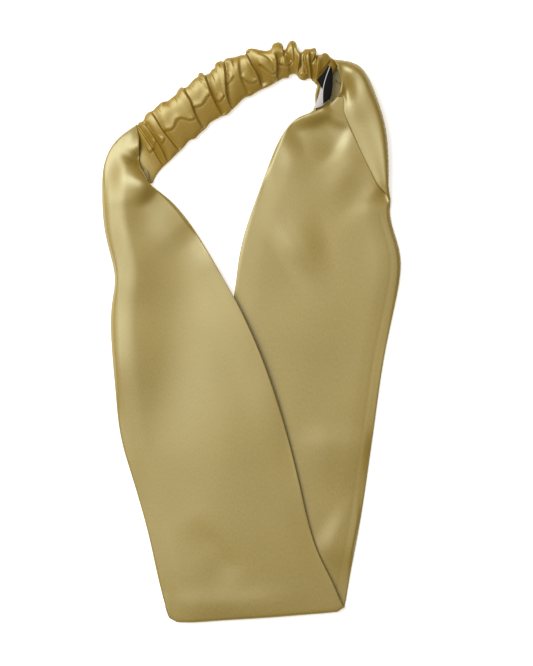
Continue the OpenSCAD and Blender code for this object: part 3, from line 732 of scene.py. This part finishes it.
# the elastic runs straighter than the ruched cloth, so its middle line is the spline through every tenth row
middle_e = through(middle_e[::10], rows_e[::10], rows_e)[:, :2]
width_c = through(np.linalg.norm(across_e, axis=1)[::10, None], rows_e[::10], rows_e)[:, 0]
ahead_e = np.gradient(middle_e, axis=0)
across_e = np.stack([-ahead_e[:, 1], ahead_e[:, 0]], -1) / np.linalg.norm(ahead_e, axis=1)[:, None]
ELASTIC_W, ELASTIC_T = 12.0, 0.9
angle_e = np.linspace(0, 2 * math.pi, 24, endpoint=False)
side_e = np.sign(np.cos(angle_e)) * np.abs(np.cos(angle_e)) ** 0.4 * ELASTIC_W / 2
rise_e = np.sign(np.sin(angle_e)) * np.abs(np.sin(angle_e)) ** 0.4 * ELASTIC_T / 2
width_e = np.clip((width_c - 5) / ELASTIC_W, 0.3, 1) * ease(-0.02, 0.1, rows_e) * ease(-0.02, 0.1, 1 - rows_e)
elastic_plan = middle_e[:, None] + (side_e[None, :] * width_e[:, None])[..., None] * across_e[:, None]
bed_e = 1.0 + 0.7 * ease(0, 0.2, rows_e - 0.1) * ease(0, 0.1, 0.93 - rows_e)
elastic_height = bed_e[:, None] + rise_e[None, :]
elastic_grid = np.dstack([elastic_plan[..., 0], elastic_plan[..., 1], elastic_height])
elastic_uv = np.dstack(np.meshgrid(np.linspace(0, 0.026, 25), rows_e * 0.12))
elastic_ribbon = outward(grid_piece("elastic_ribbon", elastic_grid, elastic_uv, closed=True))

heights_c = casing_grid[:, :CASING_TOP].reshape(-1, 3)
threads = []
for number, line in enumerate(SEAMS):
    way = np.linspace(0.04, 0.96, 60)
    path = smooth_line(line, way)
    near = ((path[:, None] - heights_c[None, :, :2]) ** 2).sum(-1).argmin(1)
    # the thread lies on the smoothed bed of the groove
    level = np.convolve(np.pad(heights_c[near, 2], 4, mode="edge"), np.ones(9) / 9, mode="valid")
    path = np.column_stack([path, level - 0.12])
    threads.append(cord_along("casing_seam" if number == 0 else f"seam_{number}", path, 0.07, 6))


# %% Seam thread of the band, closing stitches and tacks


def bars(name, starts, ends, rise, radius=0.12):
    """Short stitches, joined to one piece: each is a cord that bows up between a start and an end point."""
    way = np.linspace(0, 1, 7)[:, None]
    made = []
    for number, (a, b) in enumerate(zip(starts, ends)):
        path = a + way * (np.asarray(b) - a) + np.hstack([0 * way, 0 * way, rise * 4 * way * (1 - way)])
        made.append(cord_along(f"{name}_{number}", path, radius, 6))
    return join(name, made)


def join(name, pieces):
    """Joins pieces into one object of that name."""
    bpy.ops.object.select_all(action="DESELECT")
    for piece in pieces:
        piece.select_set(True)
    bpy.context.view_layer.objects.active = pieces[0]
    bpy.ops.object.join()
    pieces[0].name = name
    return pieces[0]


middle_low, middle_high = (lower_up + lower_down) / 2, (upper_up + upper_down) / 2
seam_column = int(np.abs(v - 0.944).argmin())
seam_low = cord_along("band_seam_low", middle_low[4:-8:3, seam_column], 0.12, 6)
seam_high = cord_along("band_seam_high", middle_high[4:-8:3, seam_column], 0.12, 6)
columns = np.linspace(8, COLUMNS - 9, 8).astype(int)
close_right = bars("closing_right", middle_low[-4, columns], middle_low[-8, columns], 0.1)
close_left = bars("closing_left", middle_high[-4, columns], middle_high[-8, columns], 0.1)
on_elastic = np.array([0, 0, 0.08])
tack_right, tack_left = (
    bars(name, elastic_grid[at, 2] + on_elastic, elastic_grid[at, 10] + on_elastic, 0.05)
    for name, at in (("tack_right", [-8, -12, -16]), ("tack_left", [8, 12, 16])))
label_rail = np.linspace((33.9, 116.0, 7.35), (35.0, 115.5, 7.2), 5)
label_stitches = bars("label_stitches", label_rail, label_rail + np.array([0.1, -0.8, -0.05]), 0.12, 0.08)

# %% Labels


def strip(name, left, right, bow=0.0, steps=24):
    """A small sheet between two rails: each rail is a smooth line through its corners, rows join equal shares
    of the two, and the middle of each row bows up."""
    way = np.linspace(0, 1, steps)
    a, b = smooth_line(left, way), smooth_line(right, way)
    u = np.linspace(0, 1, 12)[None, :, None]
    points = (1 - u) * a[:, None] + u * b[:, None]
    points[..., 2] += bow * (4 * u * (1 - u))[..., 0]
    return grid_piece(name, points, np.dstack(np.meshgrid(u[0, :, 0] * 0.006, way * 0.016)))


casing_seam = join("casing_seam", threads)
brand_left = strip("brand_left", [(33.6, 116, 6.9), (31.2, 112.6, 6.6), (28.8, 110, 6.2)],
                   [(34.2, 115.3, 7.2), (32.6, 111, 6.9), (31, 106, 6.6)], 0.25)
brand_right = strip("brand_right", [(34.2, 115.5, 7.3), (32.6, 111, 7), (31.35, 105.6, 6.8), (31.2, 99.5, 6.6)],
                    [(35, 115.6, 7), (35.4, 111.5, 6.6), (35.3, 106, 6.2), (34.4, 102, 5.9)], 0.2)
woven_label = join("woven_label", [brand_left, brand_right])
thick(woven_label, 0.2, 0)
label_selvedge = strip("label_selvedge",
                       [(34.1, 115.4, 7.45), (32.5, 111, 7.2), (31.2, 105.6, 7), (31.1, 99.6, 6.8)],
                       [(34.4, 115.4, 7.5), (32.8, 111, 7.25), (31.5, 105.6, 7.05), (31.4, 99.6, 6.85)], 0.05)
thick(label_selvedge, 0.12, 0)
care_ribbon = strip("care_ribbon", [(33.4, 115.8, 5.8), (30.6, 107, 5.5), (28.9, 101.6, 5.3), (27.1, 97.5, 5.2)],
                    [(34.4, 113.4, 5.8), (34.3, 107, 5.4), (33.6, 102, 5.2), (31, 98.8, 5.1)], 0.3)
thick(care_ribbon, 0.18, 0)

# %% [markdown]
# Satin looks the way it does because long floats of silk lie side by side: light skids along them, so the
# cloth has a broad pale gloss over a deeply coloured body. A clear glossy layer over saturated colour gives
# that, and a fine weave breaks it up. The ruched casing takes a shaded copy of the satin, a little deeper in
# colour and less glossy: this is painted shade, for the shade that gathers in its ruching.

# %% Weave group


def new_group(name, inputs, outputs):
    """An empty shader node group. Each input is (name, kind of socket, value), each output (name, kind)."""
    group = bpy.data.node_groups.new(name, "ShaderNodeTree")
    for label, kind, value in inputs:
        socket = group.interface.new_socket(label, in_out="INPUT", socket_type=kind)
        socket.default_value = value
    for label, kind in outputs:
        group.interface.new_socket(label, in_out="OUTPUT", socket_type=kind)
    return group, group.nodes.new("NodeGroupInput"), group.nodes.new("NodeGroupOutput")


weave, weave_in, weave_out = new_group(
    "fine weave",
    [("Threads per metre", "NodeSocketFloat", 2400.0), ("Light", "NodeSocketColor", (1, 1, 1, 1)),
     ("Dark", "NodeSocketColor", (0, 0, 0, 1)), ("Cloudiness", "NodeSocketFloat", 0.5)],
    [("Color", "NodeSocketColor"), ("Height", "NodeSocketFloat"), ("Roughness", "NodeSocketFloat")])


def add(tree, kind, **settings):
    """A new node of a tree, with its settings given by name."""
    node = tree.nodes.new(kind)
    for key, value in settings.items():
        setattr(node, key, value)
    return node


def math_node(tree, operation, a, b):
    """One Math node; a and b are sockets or numbers."""
    node = add(tree, "ShaderNodeMath", operation=operation)
    for socket, value in zip(node.inputs, (a, b)):
        if isinstance(value, (int, float)):
            socket.default_value = value
        else:
            tree.links.new(value, socket)
    return node.outputs[0]


# How far the weave moves the roughness
WEAVE_ROUGH = 0.12
cloth_uv = add(weave, "ShaderNodeUVMap", uv_map="cloth")
stretch = add(weave, "ShaderNodeMapping")
stretch.inputs["Scale"].default_value = (1.0, 0.35, 1.0)
weave.links.new(cloth_uv.outputs["UV"], stretch.inputs["Vector"])
grain = add(weave, "ShaderNodeTexNoise")
grain.inputs["Detail"].default_value = 2.0
weave.links.new(stretch.outputs["Vector"], grain.inputs["Vector"])
weave.links.new(weave_in.outputs["Threads per metre"], grain.inputs["Scale"])
cloud = add(weave, "ShaderNodeTexNoise")
cloud.inputs["Scale"].default_value = 35.0
cloud.inputs["Detail"].default_value = 3.0
weave.links.new(cloth_uv.outputs["UV"], cloud.inputs["Vector"])
mixed = math_node(weave, "ADD", grain.outputs["Fac"],
                  math_node(weave, "MULTIPLY", math_node(weave, "SUBTRACT", cloud.outputs["Fac"], 0.5),
                            weave_in.outputs["Cloudiness"]))
tint = add(weave, "ShaderNodeMix", data_type="RGBA")
weave.links.new(mixed, tint.inputs["Factor"])
weave.links.new(weave_in.outputs["Dark"], tint.inputs["A"])
weave.links.new(weave_in.outputs["Light"], tint.inputs["B"])
weave.links.new(tint.outputs["Result"], weave_out.inputs["Color"])
weave.links.new(grain.outputs["Fac"], weave_out.inputs["Height"])
weave.links.new(math_node(weave, "MULTIPLY", grain.outputs["Fac"], WEAVE_ROUGH), weave_out.inputs["Roughness"])


def cloth_material(name, light, dark, threads, roughness, gloss, bump, sheen=0.0, cloudiness=0.5,
                   shine=(1, 1, 1)):
    """A woven finish: colour from the weave group between dark and light, a gloss of fixed strength, and a
    bump of the threads."""
    material = bpy.data.materials.new(name)
    material.use_nodes = True
    tree = material.node_tree
    shader = tree.nodes["Principled BSDF"]
    group = add(tree, "ShaderNodeGroup", node_tree=weave)
    group.inputs["Threads per metre"].default_value = threads
    group.inputs["Light"].default_value = (*light, 1)
    group.inputs["Dark"].default_value = (*dark, 1)
    group.inputs["Cloudiness"].default_value = cloudiness
    tree.links.new(group.outputs["Color"], shader.inputs["Base Color"])
    rough = math_node(tree, "ADD", group.outputs["Roughness"], roughness - WEAVE_ROUGH / 2)
    tree.links.new(rough, shader.inputs["Roughness"])
    relief = add(tree, "ShaderNodeBump")
    relief.inputs["Strength"].default_value = bump
    relief.inputs["Distance"].default_value = 0.0001
    tree.links.new(group.outputs["Height"], relief.inputs["Height"])
    tree.links.new(relief.outputs["Normal"], shader.inputs["Normal"])
    shader.inputs["IOR"].default_value = gloss
    shader.inputs["Specular IOR Level"].default_value = 0.5
    shader.inputs["Specular Tint"].default_value = (*shine, 1)
    shader.inputs["Sheen Weight"].default_value = sheen
    shader.inputs["Sheen Roughness"].default_value = 0.4
    return material


satin = cloth_material("butter_satin", (0.37, 0.226, 0.012), (0.18, 0.108, 0.003),
                       2400, 0.46, 2.5, 0.28, 0.04, shine=(1, 1, 0.68))
# Painted shade: the casing's satin is a copy of the band's with a deeper, more orange colour and a warmer, weaker
# gloss, standing in for the shade in the ruching
satin_painted_shade_copy = cloth_material("ruched_satin_painted_shade", (0.39, 0.222, 0.010), (0.19, 0.104, 0.003),
                              2400, 0.44, 2.25, 0.28, 0.04, shine=(1, 0.95, 0.54))
thread_gold = cloth_material("gold_thread", (0.24, 0.13, 0.02), (0.14, 0.07, 0.01),
                             5000, 0.7, 1.4, 0.4, 0.2)
elastic_white = cloth_material("white_elastic", (0.85, 0.84, 0.80), (0.62, 0.61, 0.57),
                               1600, 0.8, 1.4, 0.8, 0.2)
label_black = cloth_material("black_label", (0.010, 0.010, 0.011), (0.003, 0.003, 0.003),
                             2600, 0.8, 1.25, 0.5, 0.0)
label_white = cloth_material("white_ribbon", (0.62, 0.58, 0.56), (0.50, 0.47, 0.45),
                             3000, 0.5, 1.5, 0.3, 0.1)
for piece, material, slot in ((band_cloth, satin, "satin"), (casing_cloth, satin_painted_shade_copy, "satin"),
                              (casing_seam, thread_gold, "thread"), (elastic_ribbon, elastic_white, "elastic"),
                              (woven_label, label_black, "label_black"),
                              (label_selvedge, label_white, "label_white"),
                              (care_ribbon, label_white, "label_white"),
                              *((piece, thread_gold, "thread") for piece in (
                                  seam_low, seam_high, close_right, close_left, tack_right, tack_left,
                                  label_stitches))):
    piece.data.materials.clear()
    piece.data.materials.append(material)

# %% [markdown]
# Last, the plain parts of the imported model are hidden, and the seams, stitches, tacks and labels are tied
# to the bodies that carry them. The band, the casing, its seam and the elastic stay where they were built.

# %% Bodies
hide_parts("lower_outer_layer", "lower_inner_layer", "fold_outer_turn", "fold_inner_turn",
            "upper_inner_layer", "upper_outer_layer")
for piece, node, body in ((seam_low, "lower_seam_thread", "lower_half"),
                          (seam_high, "upper_seam_thread", "upper_half"),
                          (close_right, "right_end_stitches", "lower_half"),
                          (close_left, "left_end_stitches", "upper_half"),
                          (tack_right, "right_elastic_tack", "lower_half"),
                          (tack_left, "left_elastic_tack", "upper_half"),
                          (label_stitches, "label_stitches", "lower_half")):
    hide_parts(node)
    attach(piece, body)
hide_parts("casing_tube")
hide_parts("casing_seam_thread")
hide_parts("elastic_strip")
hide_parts("care_label")
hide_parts("brand_label")
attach(care_ribbon, "care_label")
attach(woven_label, "brand_label")
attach(label_selvedge, "brand_label")
for piece in (casing_cloth, casing_seam, elastic_ribbon):
    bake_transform(piece)
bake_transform(band_cloth)
